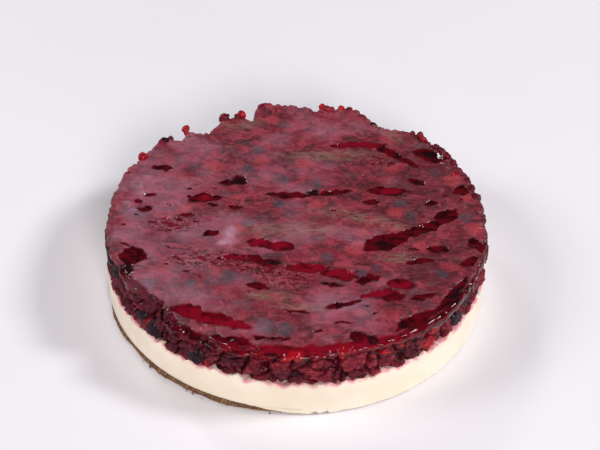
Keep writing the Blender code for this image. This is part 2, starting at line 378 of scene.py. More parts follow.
def newFinish(name, **constants):
    # a material whose shader has these sockets set, and its Object coordinates
    made = bpy.data.materials.new(name)
    made.use_nodes = True
    tree = made.node_tree
    shader = tree.nodes["Principled BSDF"]
    for socket, value in constants.items():
        shader.inputs[socket.replace("_", " ")].default_value = value
    place = addNode(tree, "ShaderNodeTexCoord").outputs["Object"]
    return made, tree, shader, place


def blotches(tree, place, size, stretch=1.0, low=0.4, high=0.6, distortion=0.0, detail=3.0):
    # the mottle group's mask
    made = addNode(tree, "ShaderNodeGroup", node_tree=mottle)
    for socket, value in (("Size", size), ("Stretch", stretch), ("Low", low), ("High", high),
                          ("Distortion", distortion), ("Detail", detail)):
        made.inputs[socket].default_value = value
    tree.links.new(place, made.inputs["Vector"])
    return made.outputs["Mask"]


def lumps(tree, place, size, roughness):
    # the grain group's height
    made = addNode(tree, "ShaderNodeGroup", node_tree=grain)
    made.inputs["Size"].default_value = size
    made.inputs["Roughness"].default_value = roughness
    tree.links.new(place, made.inputs["Vector"])
    return made.outputs["Height"]


def mark(tree, name):
    # a mask kept at the points of a mesh
    return addNode(tree, "ShaderNodeAttribute", attribute_name=name).outputs["Fac"]


def dress(tree, shader, colour, height, distance, roughness=None):
    # gives the shader its colour, its relief too fine for the mesh and, if one is made, its roughness
    made = addNode(tree, "ShaderNodeBump", {"Height": height, "Distance": distance, "Strength": 1.0})
    given = {"Base Color": colour, "Normal": made.outputs[0], "Roughness": roughness}
    for socket, value in given.items():
        if value is not None:
            tree.links.new(value, shader.inputs[socket])


# The biscuit base

biscuit = {
    "inset": 0.0032, "edge": 0.0004, "relief": 0.0004, "bulge": 0.0031,
    "crumbSize": 0.0024, "crumbRelief": 0.0006, "columns": 1200,
    "dark": (0.115, 0.045, 0.018), "middle": (0.27, 0.125, 0.050), "pale": (0.46, 0.27, 0.125),
    # the gap colour is painted shade in the gaps between crumbs
    "gap": (0.06, 0.022, 0.009),
}


def biscuitFinish():
    # dark crumb, with middle and pale blotches of two sizes, and painted shade, darkest in the gaps between
    # crumbs
    made, tree, shader, place = newFinish("biscuitCrumb", Roughness=0.88, Metallic=0.0)
    colour = blendColours(tree, blotches(tree, place, 0.0030, 1.0, 0.35, 0.62), biscuit["dark"],
                          biscuit["middle"])
    colour = blendColours(tree, blotches(tree, place, 0.0011, 1.0, 0.52, 0.68), colour, biscuit["pale"])
    # painted shade, darkest in the gaps between crumbs
    colour = blendColours(tree, mark(tree, "crevice"), colour, biscuit["gap"])
    dress(tree, shader, colour, lumps(tree, place, 0.0007, 0.7), 0.0004)
    return made


def makeBiscuitBase(finish):
    # outline turned round the axis; at the rim it moves out by a ripple, a bulge on the bare side and
    # crumbs, which are cells domed by 1 less the square of the distance from their middles
    reach = cake["radius"] - biscuit["inset"]
    top, edge = cake["baseTop"], biscuit["edge"]
    angle, radius, height = turnedGrid([
        (cake["core"], top, 0.02), (reach * 0.93, top, 0.0012), (reach, top - edge, 0.0004),
        (reach + edge, top / 2, 0.0004), (reach, edge, 0.0004), (reach * 0.985, 0, 0.02),
        (cake["core"], 0, 1)], biscuit["columns"])
    atRim = np.clip((radius - reach * 0.95) / (reach * 0.04), 0, 1)
    wave = ripple(angle + 220 * height, 3, (11, 17, 23))
    bulge = biscuit["bulge"] * bareness(angle, 1.2) * (1 + 0.12 * ripple(angle, 9, (13, 19, 37)))
    flat = polar(angle, radius, height)
    near, gap, _ = cells(flat, biscuit["crumbSize"], 31)
    fine, _, _ = cells(flat, biscuit["crumbSize"] * 0.45, 37)
    domed = (0.5 - near**2) + 0.4 * (0.5 - fine**2)
    radius = radius + atRim * (biscuit["relief"] * wave + bulge)
    radius = radius + atRim * biscuit["crumbRelief"] * domed.reshape(radius.shape)
    # the crevice mask marks the gaps between crumbs, where shade is painted
    makeTurned("biscuitBase", angle, radius, height, finish, "biscuit_base",
               {"crevice": 0.8 * smooth(0.30, 0.05, gap)})


# The cream cheese layer

cream = {
    "skirtWall": 0.0018, "foot": 0.0004, "ragged": 0.0003, "shoulder": 0.0010, "lip": 0.0008,
    "unevenness": 0.00022, "pits": 0.00007, "columns": 1200,
    # side and width of the upright seam and of a chip in the foot, and how deep and high they are
    "seam": (334, 0.35), "seamDepth": 0.00022, "chip": (279, 4.5), "chipHeight": 0.0022,
    "stained": 0.0024,  # how far down the berries stain it
    "ivory": (0.90, 0.790, 0.655), "shade": (0.86, 0.735, 0.575), "stain": (0.76, 0.28, 0.34),
}


def creamFinish():
    # ivory with wide faint blotches of a deeper shade, and broken berry stain where its mask is
    made, tree, shader, place = newFinish(
        "creamCheese", Roughness=0.42, Metallic=0.0, Subsurface_Weight=0.25,
        Subsurface_Radius=(0.006, 0.004, 0.002), Subsurface_Scale=0.5)
    uneven = blotches(tree, place, 0.018, 1.5, 0.35, 0.7)
    colour = blendColours(tree, uneven, cream["ivory"], cream["shade"])
    blush = times(tree, mark(tree, "stain"), blotches(tree, place, 0.004, 1.0, 0.3, 0.6))
    colour = blendColours(tree, blush, colour, cream["stain"])
    dress(tree, shader, colour, lumps(tree, place, 0.0012, 0.6), 0.00008)
    return made


def makeCreamLayer(finish):
    # outline turned round the axis; the top follows the layer line, the skirt is drawn up where the
    # biscuit shows, and the side moves in and out by noise, with one faint upright seam
    reach, foot = cake["radius"], cream["foot"]
    under, recess = cake["baseTop"] + cake["layerGap"], cake["radius"] - cream["skirtWall"]
    top, lip, shoulder = cake["creamTop"], cream["lip"], cream["shoulder"]
    angle, radius, height = turnedGrid([
        (cake["core"], top, 0.02), (reach * 0.90, top, 0.0012), (reach - lip, top, 0.0003),
        (reach - 0.3 * lip, top - 0.25 * shoulder, 0.0003), (reach, top - shoulder, 0.0006),
        (reach, 2 * foot, 0.0004), (reach - foot, foot, 0.0005), (recess, foot, 0.0006),
        (recess, under + foot, 0.02), (cake["core"], under + foot, 1)], cream["columns"])
    shareUp = np.clip((height - under) / (top - under), 0, 1)
    wave = (layerLine(angle, radius) - top) * shareUp
    isSkirt = (height < under) & (radius > recess - 0.00001)
    flat = polar(angle, radius, height)
    frayed = roughNoise(flat * (1, 1, 0), 0.0035, 51).reshape(radius.shape)
    lift = bareness(angle) * (under - foot) + cream["ragged"] * np.abs(
        ripple(angle, 7, (14, 22, 31, 45)) + 2.0 * frayed)
    lift = lift + cream["chipHeight"] * hump(angle, *cream["chip"]) * smooth(0.05, 0.5, frayed)
    drawnUp = np.minimum(height + np.where(isSkirt, lift, 0), under + height * foot / under)
    onSide = smooth(0.94, 0.985, radius / reach) * (height > foot)
    relief = cream["unevenness"] * roughNoise(flat * (1, 1, 2), 0.016, 61, 4)
    relief -= cream["pits"] * smooth(0.35, 0.1, cells(flat, 0.0045, 67)[0])
    seam = cream["seamDepth"] * hump(angle, *cream["seam"])
    moved = np.where(isSkirt, drawnUp, height + wave)
    radius = radius + onSide * (relief.reshape(radius.shape) - seam)
    below = layerLine(angle, radius) - moved
    below = below + 0.0013 * roughNoise(flat, 0.009, 71).reshape(radius.shape)
    makeTurned("creamLayer", angle, radius, moved, finish, "cream_layer",
               {"stain": smooth(cream["stained"], 0.0001, below)})


# The fruit that shows round the side: berries crushed against the tin, and pulp between them

crush = {
    "long": 0.0135, "tall": 0.0105, "part": 0.0072, "grain": 0.0021,
    "split": 0.0034, "partSplit": 0.0007, "grainDepth": 0.0006, "uneven": 0.0018, "dome": 0.0022,
    "seed": 91,
}


def crushedRelief(points):
    # how far crushed fruit stands out at points on the wall: flattened cells, some further out than
    # others, parted by crevices, split again into smaller ones and covered in grains; returned with
    # the crevices and the cells' numbers
    seed = crush["seed"]
    slow = 0.0034 * np.stack([noise(points, 0.0085, seed + k) for k in (1, 2, 3)], axis=1)
    quick = 0.0009 * np.stack([noise(points, 0.0022, seed + k) for k in (4, 5, 6)], axis=1)
    moved = points + slow + quick
    middle, gap, owner = cells(moved * (1, 1, crush["long"] / crush["tall"]), crush["long"], seed + 7)
    _, partGap, part = cells(moved, crush["part"], seed + 11)
    near, _, _ = cells(points + quick, crush["grain"], seed + 15)
    split = smooth(0.17, 0.02, gap)
    partSplit = smooth(0.20, 0.03, partGap) * (owner > 0.35)
    relief = crush["grainDepth"] * (0.4 - near**2) + crush["uneven"] * (0.7 * owner + 0.3 * part - 0.35)
    relief = relief - crush["split"] * split - crush["partSplit"] * partSplit
    relief = relief + crush["dome"] * (0.25 - middle**2)
    return relief, np.maximum(split, 0.4 * partSplit), 0.6 * owner + 0.4 * part


# The berries that show round the side and the rim

# half width, half height and reach into the cake of each kind, its share of the berries, and its
# number of drupelets; the finish goes from dark through middle to light
kinds = {
    "bramble": {
        "size": (0.0105, 0.0072, 0.0090), "share": 0.36, "drupelets": 64, "lumpy": 0.13,
        "dark": (0.026, 0.002, 0.006), "middle": (0.135, 0.008, 0.020), "light": (0.24, 0.028, 0.046)},
    "raspberry": {
        "size": (0.0096, 0.0074, 0.0085), "share": 0.32, "drupelets": 72, "lumpy": 0.12,
        "dark": (0.060, 0.002, 0.008), "middle": (0.220, 0.010, 0.026), "light": (0.38, 0.030, 0.045)},
    "currant": {
        "size": (0.0050, 0.0050, 0.0054), "share": 0.12, "drupelets": 0, "lumpy": 0.04,
        "dark": (0.13, 0.002, 0.006), "middle": (0.36, 0.006, 0.014), "light": (0.55, 0.030, 0.035)},
    "bilberry": {
        "size": (0.0066, 0.0062, 0.0064), "share": 0.20, "drupelets": 0, "lumpy": 0.06,
        "dark": (0.007, 0.001, 0.003), "middle": (0.022, 0.005, 0.010), "light": (0.050, 0.018, 0.032)},
}
rows = {
    "heights": (0.0062, 0.0155), "seeds": (11, 23), "start": 0.03, "pitch": 0.98, "lift": 0.0016,
    "sizeSpread": 0.15, "tiltSpread": 0.5, "pressed": 0.0030, "pressedRound": 0.0018, "slack": 0.0010,
    "rimCover": 0.0014, "faces": 44,
    "crushed": 1.0, "crushedRound": 0.3,  # share of the crushed relief on berries with drupelets, and round
    "rimSkin": 3.0,  # how much lumpier the bits at the rim are
    # the side on which berries are darkened by painted shade, and the share of that shade past which red ones
    # count as brambles
    "shadedSide": (206, 30), "shadedFrom": 0.35,
    # the gap colour is painted shade in the crevices of the fruit
    "gap": (0.012, 0.001, 0.003),
}
# Bits of berry that stand out of the rim: angle in degrees, then reach, height and size in millimetres
rimBits = [
    ("currant", 151, 117, 49.4, 3.4), ("currant", 131, 117, 49.8, 2.5),
    ("currant", 131.5, 114.5, 47.8, 2.2), ("bilberry", 140, 117, 48.6, 3.0),
    ("raspberry", 141.5, 117, 49.0, 2.4), ("raspberry", 138, 116, 48.8, 2.2),
    ("raspberry", 117, 115, 49.0, 3.2), ("currant", 110.6, 114, 49.2, 3.1),
    ("raspberry", 112, 113, 48.6, 2.6), ("raspberry", 103.4, 117.5, 50.2, 2.6),
    ("currant", 83, 118.0, 50.2, 2.4), ("raspberry", 81.2, 117.4, 49.6, 2.6),
    ("currant", 79.6, 117.8, 49.6, 1.8), ("currant", 76.5, 118, 50.2, 2.8),
    ("raspberry", 74.2, 118.2, 50.1, 2.6), ("currant", 72.2, 118, 50.0, 1.8),
    ("bilberry", 64, 112.6, 48.0, 2.2), ("raspberry", 50.5, 118, 49.2, 2.2),
    ("raspberry", 47.5, 118.6, 50.4, 2.6), ("currant", 45.6, 117.8, 50.2, 2.0),
    ("raspberry", 40.5, 118.4, 49.6, 2.4), ("bramble", 37.5, 118.6, 49.6, 2.8),
    ("raspberry", 34.5, 118.4, 49.2, 2.2), ("bramble", 31, 117.6, 49.0, 2.6),
    ("currant", 26, 113.5, 47.0, 3.6), ("bramble", 22, 117.2, 48.2, 2.6),
    ("raspberry", 18, 117, 48.4, 2.2), ("bramble", 13, 116.5, 48.4, 3.0),
    ("raspberry", 160, 117, 47.6, 2.2),
]


def fruitFinish(kind):
    # dark to middle by the tone, lighter blotches the more tone there is, painted shade in the crevices,
    # duller where it is pressed
    look = kinds[kind]
    made, tree, shader, place = newFinish(kind + "Skin", Metallic=0.0, Specular_IOR_Level=0.15)
    tone = mark(tree, "tone")
    colour = blendColours(tree, tone, look["dark"], look["middle"])
    patches = blotches(tree, place, 0.0035, 1.0, 0.42, 0.75)
    lit = times(tree, patches, calculate(tree, "MULTIPLY_ADD", tone, 1.6, 0.04))
    colour = blendColours(tree, lit, colour, look["light"])
    # painted shade in the crevices between drupelets and crushed pieces, and in the dimples
    colour = blendColours(tree, mark(tree, "crevice"), colour, rows["gap"])
    dull = calculate(tree, "MULTIPLY_ADD", mark(tree, "pressed"), 0.30, 0.20)
    dress(tree, shader, colour, lumps(tree, place, 0.0009, 0.6), 0.00022, dull)
    return made


def frontedBall(steps):
    # a disc grid wrapped round a ball: the angle from the outer side (+Y) grows with the ring, slowly
    # over the outer half and fast behind it, up to a pole at the back
    ring, angle, quads, border = discGrid(steps)
    ring = ring * (1 - 0.5 / steps)
    away = math.pi * (0.58 * ring + 0.42 * ring**6)
    points = np.stack([np.sin(away) * np.cos(angle), np.cos(away), -np.sin(away) * np.sin(angle)], axis=1)
    pole = len(points)
    fan = np.stack([np.roll(border, -1), border, np.full(len(border), pole)], axis=1)
    return np.concatenate([points, [[0, -1, 0]]]), quads.tolist() + fan.tolist()


def drupeletHeads(count):
    # directions spread evenly over a ball on a spiral, turning by the golden angle
    step = np.arange(count) + 0.5
    height = 1 - 2 * step / count
    turn = step * math.pi * (3 - math.sqrt(5))
    flat = np.sqrt(1 - height**2)
    return np.stack([flat * np.cos(turn), flat * np.sin(turn), height], axis=1)


def berrySkin(kind, ball, seed, more):
    # how far the skin stands from the middle in each direction: drupelets domed by 1 less the square
    # of the angle from their heads, soft lumps, and on a bilberry a crown round a dimple; returned with the
    # borders between drupelets or the dimple, which sink a little and get painted shade
    look = kinds[kind]
    lumpy = more * look["lumpy"] * roughNoise(ball + 7.3 * seed, 0.9, seed, 3)
    if look["drupelets"]:
        heads = drupeletHeads(look["drupelets"])
        strewn = np.random.default_rng(seed).normal(size=heads.shape)
        heads = heads + 0.25 / math.sqrt(look["drupelets"]) * strewn
        heads /= np.linalg.norm(heads, axis=1)[:, None]
        away = np.arccos(np.clip(ball @ heads.T, -1, 1))
        closest = np.sort(away, axis=1)[:, :2]
        spacing = 2 / math.sqrt(look["drupelets"])
        dome = np.clip(closest[:, 0] / spacing, 0, 1) ** 2
        border = smooth(0.35, 0.0, (closest[:, 1] - closest[:, 0]) / spacing)
        return 1 + lumpy + 0.09 * (0.5 - dome) - 0.05 * border, border
    if kind == "bilberry":
        fromEye = np.arccos(np.clip(ball @ np.array([0.30, 0.80, 0.52]), -1, 1))
        crown = 1 + 0.4 * np.sin(5 * np.arctan2(ball[:, 0], ball[:, 2]))
        crown = crown * np.exp(-(((fromEye - 0.42) / 0.10) ** 2))
        dimple = smooth(0.40, 0.15, fromEye)
        return 1 + lumpy + 0.06 * crown - 0.14 * dimple, 0.7 * dimple
    ribs = 0.012 * np.cos(9 * np.arctan2(ball[:, 1], ball[:, 0]))
    return 1 + lumpy + ribs, np.zeros(len(ball))


def sideBerries():
    # two rows round the side: each berry draws a kind, a size and a tilt, and the next one starts
    # where it ends
    names = list(kinds)
    shares = [kinds[kind]["share"] for kind in names]
    found = []
    for row, (rise, seed) in enumerate(zip(rows["heights"], rows["seeds"])):
        draw = np.random.default_rng(seed)
        angle = rows["start"] * row
        while angle < 2 * math.pi:
            kind = names[draw.choice(len(names), p=shares)]
            size = np.array(kinds[kind]["size"]) * (1 + rows["sizeSpread"] * draw.uniform(-1, 1))
            lift, tilt, slack = draw.uniform(-1, 1, 3)
            half = size[0] * rows["pitch"] / cake["radius"]
            height = cake["creamTop"] + rise + rows["lift"] * lift
            outer = cake["radius"] - rows["slack"] * (0.65 + 0.45 * slack)
            pressed = rows["pressed"] if kinds[kind]["drupelets"] else rows["pressedRound"]
            radius = outer - size[2] + pressed
            found.append((kind, size, (angle + half, radius, height), rows["tiltSpread"] * tilt, outer))
            angle += 2 * half
    return found


def rimBerries():
    # the listed bits, each turned and stretched by its number in the list
    found = []
    for number, (kind, degrees, reach, height, size) in enumerate(rimBits):
        long = 1 + 0.18 * math.sin(5 * number)
        place = (math.radians(degrees), reach / 1000, height / 1000)
        shape = 0.001 * size * np.array([long, 1 / long, 1.0])
        found.append((kind, shape, place, 1.3 * number, cake["radius"] + 0.003))
    return found


def berryPoints(kind, size, place, turn, outer, ball, seed, soft, lumpy):
    # the skin scaled and turned into place along the side, then pressed flat by the tin (grooves stay),
    # by the cream below and by the top above, and crushed by this share
    skin, crevice = berrySkin(kind, ball, seed, lumpy)
    shaped = ball * skin[:, None]
    cos, sin = math.cos(turn), math.sin(turn)
    along, up = shaped[:, 0] * size[0], shaped[:, 2] * size[1]
    along, up = cos * along - sin * up, sin * along + cos * up
    out = shaped[:, 1] * size[2] + place[1]
    over = out - outer
    pressed = smooth(-0.0008, 0.0006, over)
    settled = outer - 0.00045 * crevice * pressed + 0.00020 * np.tanh(over / 0.003)
    radius = np.where(over > 0, settled, out)
    angle = place[0] + along / place[1]
    floor = layerLine(angle, radius) + 2 * cake["layerGap"]
    ceiling = underTop(angle, radius) if soft else cake["radius"]
    height = np.clip(place[2] + up, floor, ceiling)
    relief, split, owner = crushedRelief(polar(angle, cake["radius"], height))
    showing = smooth(-0.0045, -0.0015, radius - outer) * soft
    radius = radius + showing * relief - leaning(angle, height) * (soft > 0)
    # the grooves mark where shade is painted in the crevices
    grooves = np.maximum(crevice * (1 - 0.5 * showing), split * showing)
    return polar(angle, radius, height), grooves, pressed, owner


def makeBerries(finishes):
    # every berry of a kind goes into one mesh, and on the side with painted shade the red ones go with the
    # darker brambles;
    # the bits at the rim aren't crushed
    ball, faces = frontedBall(rows["faces"])
    side = sideBerries()
    gathered = {kind: [] for kind in kinds}
    tones = np.random.default_rng(41)
    for number, (kind, size, place, turn, outer) in enumerate(side + rimBerries()):
        skin, soft, sideShade = rows["rimSkin"], 0.0, hump(place[0], *rows["shadedSide"])
        shown = kind
        if number < len(side):
            skin = 1.0
            soft = rows["crushed"] if kinds[kind]["drupelets"] else rows["crushedRound"]
            if sideShade > rows["shadedFrom"] and kind in ("currant", "raspberry"):
                shown = "bramble"
        points, crevice, pressed, owner = berryPoints(
            kind, size, place, turn, outer, ball, number, soft, skin)
        # each berry's tone is drawn at random and lowered by painted shade on the shaded side
        tone = (1 - 0.2 * sideShade) * (0.5 * tones.uniform(0, 1) + 0.5 * owner)
        gathered[shown].append((points, crevice, pressed, tone))
    for kind, found in gathered.items():
        points, crevice, pressed, tone = (np.concatenate(parts) for parts in zip(*found))
        joined = copied(faces, len(ball), len(found))
        makePiece(kind + "Berries", points, joined, finishes[kind], "berry_topping",
                  {"crevice": crevice, "pressed": pressed, "tone": tone})


# The crushed fruit that fills the layer between the berries

pulp = {
    "inset": 0.0019, "columns": 1360,
    "dark": (0.026, 0.0015, 0.005), "middle": (0.170, 0.0065, 0.018), "light": (0.27, 0.026, 0.042),
    "red": (0.50, 0.010, 0.020), "gap": (0.010, 0.001, 0.003),
}


def pulpFinish():
    # dark to middle by the tone, with lighter blotches, bright red scraps and painted shade in the gaps
    made, tree, shader, place = newFinish("crushedFruit", Metallic=0.0, Specular_IOR_Level=0.18)
    tone = mark(tree, "tone")
    colour = blendColours(tree, tone, pulp["dark"], pulp["middle"])
    colour = blendColours(tree, blotches(tree, place, 0.0028, 1.0, 0.48, 0.78), colour, pulp["light"])
    colour = blendColours(tree, mark(tree, "bright"), colour, pulp["red"])
    # painted shade in the crevices of the crushed fruit
    colour = blendColours(tree, mark(tree, "crevice"), colour, pulp["gap"])
    wetness = calculate(tree, "MULTIPLY_ADD", blotches(tree, place, 0.006), 0.30, 0.18)
    dress(tree, shader, colour, lumps(tree, place, 0.0009, 0.6), 0.00025, wetness)
    return made


def makeCrushedFruit(finish):
    # outline turned round the axis; its wall moves out by the crushed relief
    reach = cake["radius"] - pulp["inset"]
    top, foot = cake["berryTop"] - 0.0012, cake["creamTop"] + cake["layerGap"]
    angle, radius, height = turnedGrid([
        (cake["core"], top - 0.003, 0.02), (reach - 0.0080, top - 0.003, 0.0010),
        (reach - 0.0016, top - 0.0006, 0.0006), (reach, top - 0.0020, 0.0005), (reach, foot, 0.0006),
        (reach - 0.0060, foot, 0.02), (cake["core"], foot, 1)], pulp["columns"])
    onWall = smooth(-0.0050, -0.0010, radius - reach)
    relief, crevice, owner = crushedRelief(polar(angle, cake["radius"], height))
    bite = 1.2 * relief.reshape(radius.shape)
    wobble = 0.0005 * ripple(angle + 60 * height, 13, (6, 11, 17, 24))
    high = np.clip((height - foot) / (top - foot), 0, 1)
    radius = radius + onWall * (bite + wobble) - smooth(0.8, 1.0, radius / reach) * leaning(angle, height)
    sag = (topHeight(angle, radius) - cake["berryTop"]) * high**2
    level = (layerLine(angle, radius) - cake["creamTop"]) * (1 - high)
    # lit is 0 on the side with painted shade, where the tone is lowered and no bright red scraps show
    lit = 1 - hump(angle, *rows["shadedSide"]).ravel()
    marks = {"crevice": 0.9 * crevice, "tone": owner * (0.8 + 0.2 * lit),
             "bright": 0.8 * lit * (owner * 7.7 % 1 > 0.9)}
    height = height + sag + level
    makeTurned("crushedFruit", angle, radius, height, finish, "berry_topping", marks)


# The jellied top

jelly = {
    "steps": 306, "flatShare": 0.92, "round": 0.0022, "reach": 0.0002, "drop": 0.0004, "runs": 0.0030,
    "thickness": 0.0034, "uneven": 0.0009, "longRuns": 0.0060, "ridge": 0.9, "step": 0.0006,
    # how far the berries and the grooves between them move the rim, and how far in it closes below
    "berries": 0.0010, "grooves": 0.0016, "wall": 0.0045,
    # share of each dip's listed depth, then in mm the holes' depth, the knobs' height and the radius
    # within which small pits and spots are strewn
    "dipDepth": 0.55, "holeDepth": 0.75, "knobHeight": 1.5, "strewn": 112, "smallPits": 36,
    # sides and widths of the thick lip, the longest runs, the rim over which the painted sheen runs, the dark
    # rim, the painted red glow and the rim on which berries stand out less
    "thickLip": (316, 26), "drapes": (348, 22), "sheenRim": (191, 19), "darkRim": (22, 26),
    "frontGlow": (270, 17), "heldRim": (215, 30),
    "base": (0.168, 0.014, 0.028), "plum": (0.070, 0.010, 0.015), "rose": (0.31, 0.038, 0.060),
    "olive": (0.150, 0.066, 0.052), "slate": (0.052, 0.038, 0.052), "scarlet": (0.36, 0.034, 0.046),
    # the first colour on the next line is a painted sheen, the soft light that the flat top reflects
    "paintedSheen": (0.41, 0.182, 0.255), "beige": (0.36, 0.17, 0.165),
    "deep": (0.020, 0.0003, 0.002), "crimson": (0.088, 0.0007, 0.004), "bright": (0.190, 0.002, 0.012),
    # the first colour on the next line is a painted glow, lighter red for the front rim
    "glow": (0.34, 0.004, 0.010), "light": (0.42, 0.13, 0.16), "dark": (0.040, 0.006, 0.011),
    "black": (0.010, 0.0015, 0.003),
}
# Dips in the top: across, back, long, wide (all in mm), turned by (degrees) and depth (mm)
dips = [
    (-94, 21, 7, 4, 0, 1.6), (-96, 7, 8, 4, 10, 1.6), (-101, 14, 5, 3, 0, 1.2), (38, 78, 32, 6, 3, 0.8),
    (63, 68, 34, 5.5, -38, 0.8), (87, 69, 24, 9, -22, 1.8), (89, 83, 8, 8, 3, 1.2),
    (98, 72, 9, 8, -30, 1.6), (57, 31, 22, 6, 5, 1.0), (47, 19, 11, 6, 0, 1.0), (85, 20, 7, 4, 3, 0.7),
    (-89, 47, 12, 5, 6, 0.9), (-38, 38, 8, 8, 3, 2.2), (-46, 35, 9, 6, 0, 1.4),
    (-6, 24, 26, 5.5, 3, 1.0), (9, 28, 7, 5, 3, 1.4), (22, 28, 22, 5, 14, 1.0),
    (-59, 19, 20, 7, 8, 1.3), (-54, 12, 6, 4, 0, 0.9), (-39, 11, 9, 3, -8, 0.8),
    (-69, 2, 10, 3, 3, 0.6), (-53, -15, 11, 4, 30, 0.9), (-22, -23, 16, 7, -8, 1.1),
    (-10, -25, 18, 8, 8, 1.2), (-34, -37, 24, 6, 4, 1.0), (-18, -40, 16, 7, -6, 1.4),
    (7, -44, 23, 8, 4, 1.3), (26, -49, 22, 7, -10, 1.3), (22, -58, 15, 4, -6, 0.9),
    (-21, -62, 13, 5, -10, 0.9), (43, -53, 14, 6, 20, 1.0), (63, -56, 15, 8, 3, 1.2),
    (48, -65, 20, 5, 22, 1.0), (58, -67, 16, 7, 3, 1.1), (53, -20, 26, 13, 20, 1.9),
    (76, -6, 34, 8, 30, 1.5), (94, 8, 16, 11, 32, 1.6), (86, -23, 13, 7, 0, 1.2),
    (75, -35, 15, 5, 6, 1.0), (28, -75, 22, 4, 18, 0.8), (76, -67, 12, 4, 22, 0.8),
    (29, -91, 10, 2.5, 3, 0.7), (13, -98, 5, 2.5, 30, 0.5), (1, -82, 13, 1.8, 0, 0.5),
    (-8, -105, 14, 2.2, 2, 0.5), (-20, -104, 9, 2, -4, 0.5), (-100, -38, 15, 15, 10, 2.4),
    (-101, -51, 8, 10, 0, 3.4), (105, -35, 13, 8, 30, 1.8), (111, -18, 9, 14, 20, 1.5),
    (105, 33, 9, 9, 0, 1.3), (76, 42, 10, 6, -30, 0.9), (91, -66, 38, 6, 56, 2.0),
    (70, -87, 27, 7, 38, 2.0), (38, -102, 11, 7, 0, 1.6), (46, -104, 9, 6, 10, 1.9),
    (-49, -88, 48, 8, -20, 1.3), (-62, -83, 18, 9, -20, 1.4), (-36, -106, 34, 6, -17, 1.4),
    (-82, -85, 34, 13, -52, 3.0),
]
# Wet red stretches where the flat top ends before the rim: angle in degrees and the flat's end in mm
flatEnds = {0: 119, 165: 119, 195: 117, 212: 112, 222: 108, 232: 112, 246: 113, 256: 112, 268: 111,
            284: 110, 292: 112, 300: 114, 312: 115, 324: 117, 340: 118, 360: 119}
# Dark berries just under the surface, blurred by the jelly, and bright red ones: across, back, size in mm
slates = [
    (-27, 69, 9), (-11, 39, 10), (-33, 49, 8), (-11, 98, 8), (-79, 55, 6), (11, 36, 9), (-88, -62, 10),
    (-62, -62, 8), (-51, -59, 7), (-40, -54, 10), (-16, -96, 12), (-6, -97, 11), (-12, 14, 8),
    (-31, -5, 8), (-101, 3, 10), (19, -34, 7), (39, -47, 8), (65, 19, 8), (71, 7, 6), (105, 6, 9),
    (88, -46, 7),
]
scarlets = [
    (3, 57, 11), (-25, 59, 10), (-55, 51, 9), (-19, 102, 9), (61, 55, 9), (-71, 9, 9), (-42, -22, 10),
    (-36, -10, 9), (12, 15, 9), (36, -27, 12), (77, -22, 10), (62, 9, 10), (111, -4, 9), (38, -82, 7),
    (100, 44, 11), (108, 27, 8),
]
# Near-black berries in the dips, brownish streaks, stretches of painted sheen and pitted stretches: across,
# back, long and wide in mm, turned by degrees
blacks = [
    (-38, 38, 9, 8, 0), (9, 28, 8, 5, 10), (-101, -50, 8, 11, 0), (46, -104, 8, 8, 0),
    (-13, -39, 9, 5, 0), (52, -21, 10, 6, 20), (87, 70, 14, 6, -22), (-80, -84, 12, 9, -50),
    (76, 41, 5, 4, 0), (96, -62, 14, 5, 59),
]
olives = [
    (-7, -11, 62, 12, 3), (44, 2, 60, 10, -14), (-16, -70, 26, 8, 3), (59, 91, 22, 8, -42),
    (-40, 96, 32, 9, 8), (62, -33, 24, 9, 3), (20, 66, 60, 10, 2), (8, -78, 40, 7, 0),
]
sheenPatches = [
    (-40, -15, 10, 14, 0), (-44, -24, 8, 8, 0), (-73, 78, 26, 60, 20), (-86, 25, 30, 50, 10),
    (-42, -20, 12, 18, 10), (-104, -5, 22, 26, 0), (-96, -68, 24, 18, 0), (-45, -78, 60, 14, -16),
    (20, -80, 44, 18, 10), (-62, -2, 50, 14, 0),
]
pitted = [
    (-55, -39, 44, 14, 3), (-9, -52, 34, 18, -20), (-76, -7, 28, 16, 10), (53, 61, 18, 12, -20),
    (-30, -45, 24, 9, -10),
]
# Stretches where the dips are a brighter red, stretches of painted shade, shiny stretches, and raised knobs
# at the left, which get painted sheen
brights = [
    (-17, -24, 24, 10, -8), (-36, -37, 12, 8, 0), (5, -43, 26, 11, 4), (26, -48, 22, 9, -10),
    (63, -56, 16, 9, 3), (48, -66, 22, 6, 22), (-46, -89, 52, 9, -20), (57, 31, 16, 6, 5),
    (15, -112, 30, 10, 5), (50, -105, 44, 9, 24), (-22, -111, 40, 8, -8), (60, 64, 30, 6, -38),
    (38, 78, 30, 7, 3), (70, -62, 10, 6, 20), (-60, 19, 8, 5, 8),
]
# stretches of painted shade, mostly over the right of the top
shadedStretches = [
    (74, 44, 70, 60, 20), (84, -44, 60, 30, 50), (-14, 60, 60, 14, 0), (62, 4, 40, 12, -20),
]
shinies = [
    (79, 56, 12, 4, 10), (93, 60, 7, 9, 0), (91, 37, 3, 3, 0), (33, -18, 9, 7, 0), (-40, -15, 6, 5, 0),
    (-53, -94, 10, 4, -20), (98, 2, 9, 5, 30), (77, 0, 10, 4, 30), (43, 76, 5, 4, 0),
    (-41, 32, 4, 4, 0), (-82, -82, 5, 5, 0), (-35, -106, 5, 4, 0), (25, -108, 9, 5, 10),
    (38, -113, 7, 6, 0), (70, -32, 5, 4, 0), (98, 67, 6, 5, 0),
]
knobs = [
    (-101, 29, 4, 5, 0), (-99, 22, 5, 4, 0), (-107, 11, 5, 6, 0), (-103, 5, 6, 5, 0),
    (-96, 37, 4, 4, 0), (-109, -22, 12, 9, 20), (-98, -66, 10, 8, -40),
]


